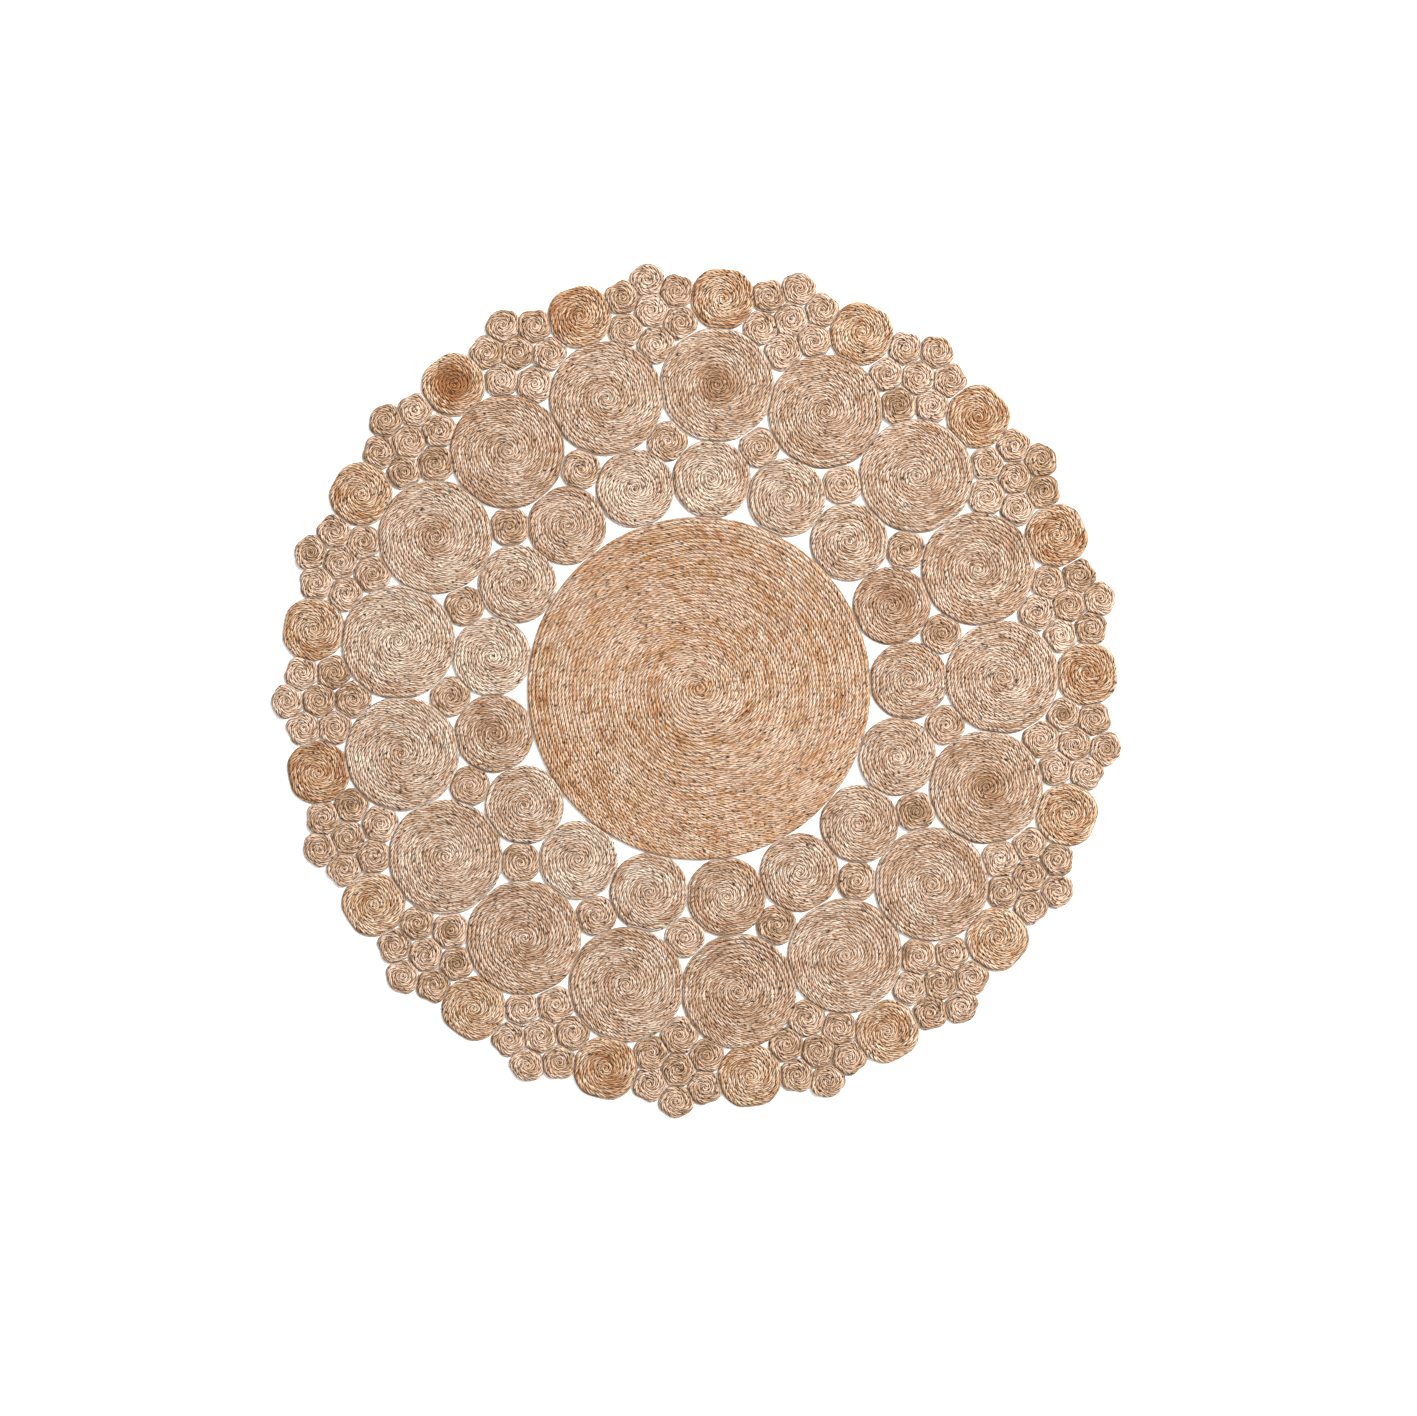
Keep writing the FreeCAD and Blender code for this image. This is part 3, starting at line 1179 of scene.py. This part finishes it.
@dataclass
class Stitching:
    """The twine that sews touching coils together, in the grooves of the underside."""

    nodes: list[str]
    petals: int
    slot: str = "twine"
    rings: int = 7
    twist: float = 2.5 * FULL_TURN
    plies: int = 2
    ply_groove: float = 0.62
    wander: float = 0.5 * MM
    tuck: float = 1.3 * MM
    # Each end is tucked up into its rope, steeply and only near the end.
    tuck_power: int = 6
    clear_of_floor: float = 0.1 * MM
    end_gap: float = 0.02 * MM
    merge: float = 0.001 * MM
    seed: int = 70000
    pieces: list[bpy.types.Object] = field(default_factory=list)

    def build(self) -> None:
        """Lay every stitch where the frame has it, one piece for each petal of the rug."""
        petals: dict[int, list[tuple[str, np.ndarray]]] = {}
        for node in self.nodes:
            for points in solids_of(node):
                turn = bearing_of(points.mean(axis=0)) / FULL_TURN
                petals.setdefault(int(turn * self.petals) % self.petals, []).append((node, points))
        rng = np.random.default_rng(self.seed)
        for number, petal in enumerate(sorted(petals), start=1):
            piece = self.sew(f"twine_{number:02d}", [points for _, points in petals[petal]], rng)
            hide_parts(*sorted({node for node, _ in petals[petal]}))
            self.pieces.append(piece)

    def sew(self, name: str, solids: list[np.ndarray], rng: np.random.Generator) -> bpy.types.Object:
        """Make the stitches of one petal.

        Args:
            name: The piece's name.
            solids: The points of each stitch in the frame.
            rng: Random numbers for how the stitches wander.

        Returns:
            The piece, a mesh at the origin.
        """
        route = start_route(name)
        for points in solids:
            self.add_stitch(route, points, rng)
        section = make_section("twine_profile", self.plies, np.ptp(solids[0][:, 2]) / 2, self.ply_groove)
        piece = sweep(route, section)
        bpy.data.objects.remove(section)
        close_up(piece, self.merge)
        return piece

    def add_stitch(
        self, route: bpy.types.Curve, points: np.ndarray, rng: np.random.Generator
    ) -> None:
        """Add one stitch, which comes out of one rope and goes into the other.

        Args:
            route: The curve that the petal's stitches share.
            points: The stitch's points in the frame.
            rng: Random numbers for how it wanders.
        """
        middle = points.mean(axis=0)
        along = np.linalg.svd(points - middle, full_matrices=False)[2][0]
        along = unit(along * np.array([1, 1, 0]))
        across = np.array([-along[1], along[0], 0])
        length = np.ptp((points - middle) @ along)
        thick = np.ptp(points[:, 2]) / 2
        share = np.linspace(-1, 1, self.rings)
        places = middle + np.outer(share * length / 2, along)
        places += np.outer(rng.uniform(-1, 1) * self.wander * np.sin(share * math.pi / 2), across)
        places[:, 2] = thick + self.clear_of_floor + self.tuck * share**self.tuck_power
        closed = np.concatenate([places[:1], places, places[-1:]])
        closed[0] -= along * self.end_gap
        closed[-1] += along * self.end_gap
        sizes = np.concatenate([[0.0], np.ones(self.rings), [0.0]])
        add_length(route, closed, sizes, np.pad(share, 1, mode="edge") * self.twist / 2)


@dataclass
class Studio:
    """Plain pale floor, soft light and a camera straight above."""

    rug_low: Vector
    rug_high: Vector
    rug_share: float = 0.6005
    shift_right: float = 0.0085
    shift_down: float = 0.0124
    lens: float = 120.0
    sensor: float = 36.0
    sight: float = 100.0
    floor_size: float = 30.0
    floor_gap: float = 0.2 * MM
    floor_colour: str = "#f7f6f4"
    floor_roughness: float = 0.9
    lamp_direction: tuple[float, float] = (math.radians(36), math.radians(42))
    lamp_distance: float = 14.0
    lamp_size: float = 7.0
    lamp_power: float = 4950.0
    sky: str = "#ffffff"
    sky_strength: float = 0.9

    def build(self) -> None:
        """Make the floor, the light and the camera."""
        self.make_floor()
        self.make_light()
        self.make_camera()
        bpy.context.scene.view_settings.view_transform = "Standard"

    def make_floor(self) -> None:
        """Lay a pale matt floor under the rug."""
        bpy.ops.object.select_all(action="DESELECT")
        below = self.rug_low.z - self.floor_gap
        bpy.ops.mesh.primitive_plane_add(size=self.floor_size, location=(0, 0, below))
        floor = bpy.context.active_object
        floor.name = "studio_floor"
        made = bpy.data.materials.new("pale_floor")
        made.use_nodes = True
        shader = made.node_tree.nodes["Principled BSDF"]
        shader.inputs["Base Color"].default_value = linear(self.floor_colour)
        shader.inputs["Roughness"].default_value = self.floor_roughness
        shader.inputs["Specular IOR Level"].default_value = 0.0
        floor.data.materials.append(made)

    def make_light(self) -> None:
        """Hang one large soft lamp to the side, and fill from a white sky."""
        bearing, height = self.lamp_direction
        direction = Vector(
            (
                math.cos(bearing) * math.cos(height),
                math.sin(bearing) * math.cos(height),
                math.sin(height),
            )
        )
        middle = (self.rug_low + self.rug_high) / 2
        lamp = bpy.data.lights.new("soft_lamp", "AREA")
        lamp.shape = "DISK"
        lamp.size = self.lamp_size
        lamp.energy = self.lamp_power
        holder = bpy.data.objects.new("soft_lamp", lamp)
        holder.location = middle + direction * self.lamp_distance
        holder.rotation_euler = direction.to_track_quat("Z", "Y").to_euler()
        bpy.context.scene.collection.objects.link(holder)
        world = bpy.data.worlds.new("studio_sky")
        world.use_nodes = True
        background = world.node_tree.nodes["Background"]
        background.inputs["Color"].default_value = linear(self.sky)
        background.inputs["Strength"].default_value = self.sky_strength
        bpy.context.scene.world = world

    def make_camera(self) -> None:
        """Point a long lens straight down, with the rug a little high and left in the view."""
        middle = (self.rug_low + self.rug_high) / 2
        view = (self.rug_high.x - self.rug_low.x) / self.rug_share
        camera = bpy.data.cameras.new("camera")
        camera.lens = self.lens
        camera.sensor_width = self.sensor
        camera.clip_end = self.sight
        holder = bpy.data.objects.new("camera", camera)
        holder.location = (
            middle.x + view * self.shift_right,
            middle.y - view * self.shift_down,
            self.rug_high.z + view * self.lens / self.sensor,
        )
        bpy.context.scene.collection.objects.link(holder)
        bpy.context.scene.camera = holder


WARM = JuteFinish("jute_warm", straw="#b79d87", pale="#c6af99", tan="#aa8460", rust="#905d35")
TOASTED = JuteFinish("jute_toasted", straw="#b79e86", pale="#c7b398", tan="#a88463", rust="#885934")
PALE = JuteFinish("jute_pale", straw="#b7a391", pale="#c7b7a4", tan="#a98b72", rust="#8e6b4f")
GREY = JuteFinish("jute_grey", straw="#baa08c", pale="#c6b09d", tan="#a6886c", rust="#85684d")


def numbered(stem: str) -> list[str]:
    """Return the CAD nodes whose names are a stem and a number, in order."""
    return sorted(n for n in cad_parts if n.startswith(stem) and n[len(stem):].isdigit())


def main() -> None:
    """Build the rug's ropes, then the studio, and note the sizes."""
    logging.basicConfig(level=logging.INFO, format="%(message)s")
    groups = [
        CoilGroup(Winding.CENTRE, ["centre_coil"], WARM, "jute_warm", seed=1000, lengths=3),
        CoilGroup(Winding.INNER, numbered("inner_coil_"), PALE, "jute_pale", seed=20000),
        CoilGroup(Winding.LARGE, numbered("large_coil_"), PALE, "jute_pale", seed=30000),
        CoilGroup(
            Winding.RIM,
            ["rim_coils"],
            TOASTED,
            "jute_warm",
            seed=40000,
            share_of_node=True,
            bias=-0.6,
        ),
        CoilGroup(Winding.FILLER, ["filler_coils"], GREY, "jute_grey", seed=50000, share_of_node=True),
        CoilGroup(Winding.CLUSTER, numbered("rim_cluster_"), GREY, "jute_grey", seed=60000),
    ]
    low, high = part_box("centre_coil")
    rope = Rope(width=high.z - low.z)
    winder = Winder(rope)
    profile = rope.make_profile()
    finishes: dict[str, bpy.types.Material] = {}
    coils = [coil for group in groups for coil in group.find_coils()]
    for coil in coils:
        coil.meet(coils)
    for group in groups:
        group.build(winder, profile)
        if group.finish.name not in finishes:
            finishes[group.finish.name] = group.finish.material()
        dress(group.pieces, finishes[group.finish.name])
    bpy.data.objects.remove(profile)
    seams = [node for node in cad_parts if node.startswith("stitches_")]
    stitching = Stitching(seams, petals=len(numbered("inner_coil_")))
    stitching.build()
    dress(stitching.pieces, TwineFinish().material())
    Studio(*CAD_BOX).build()


if __name__ == "__main__":
    main()
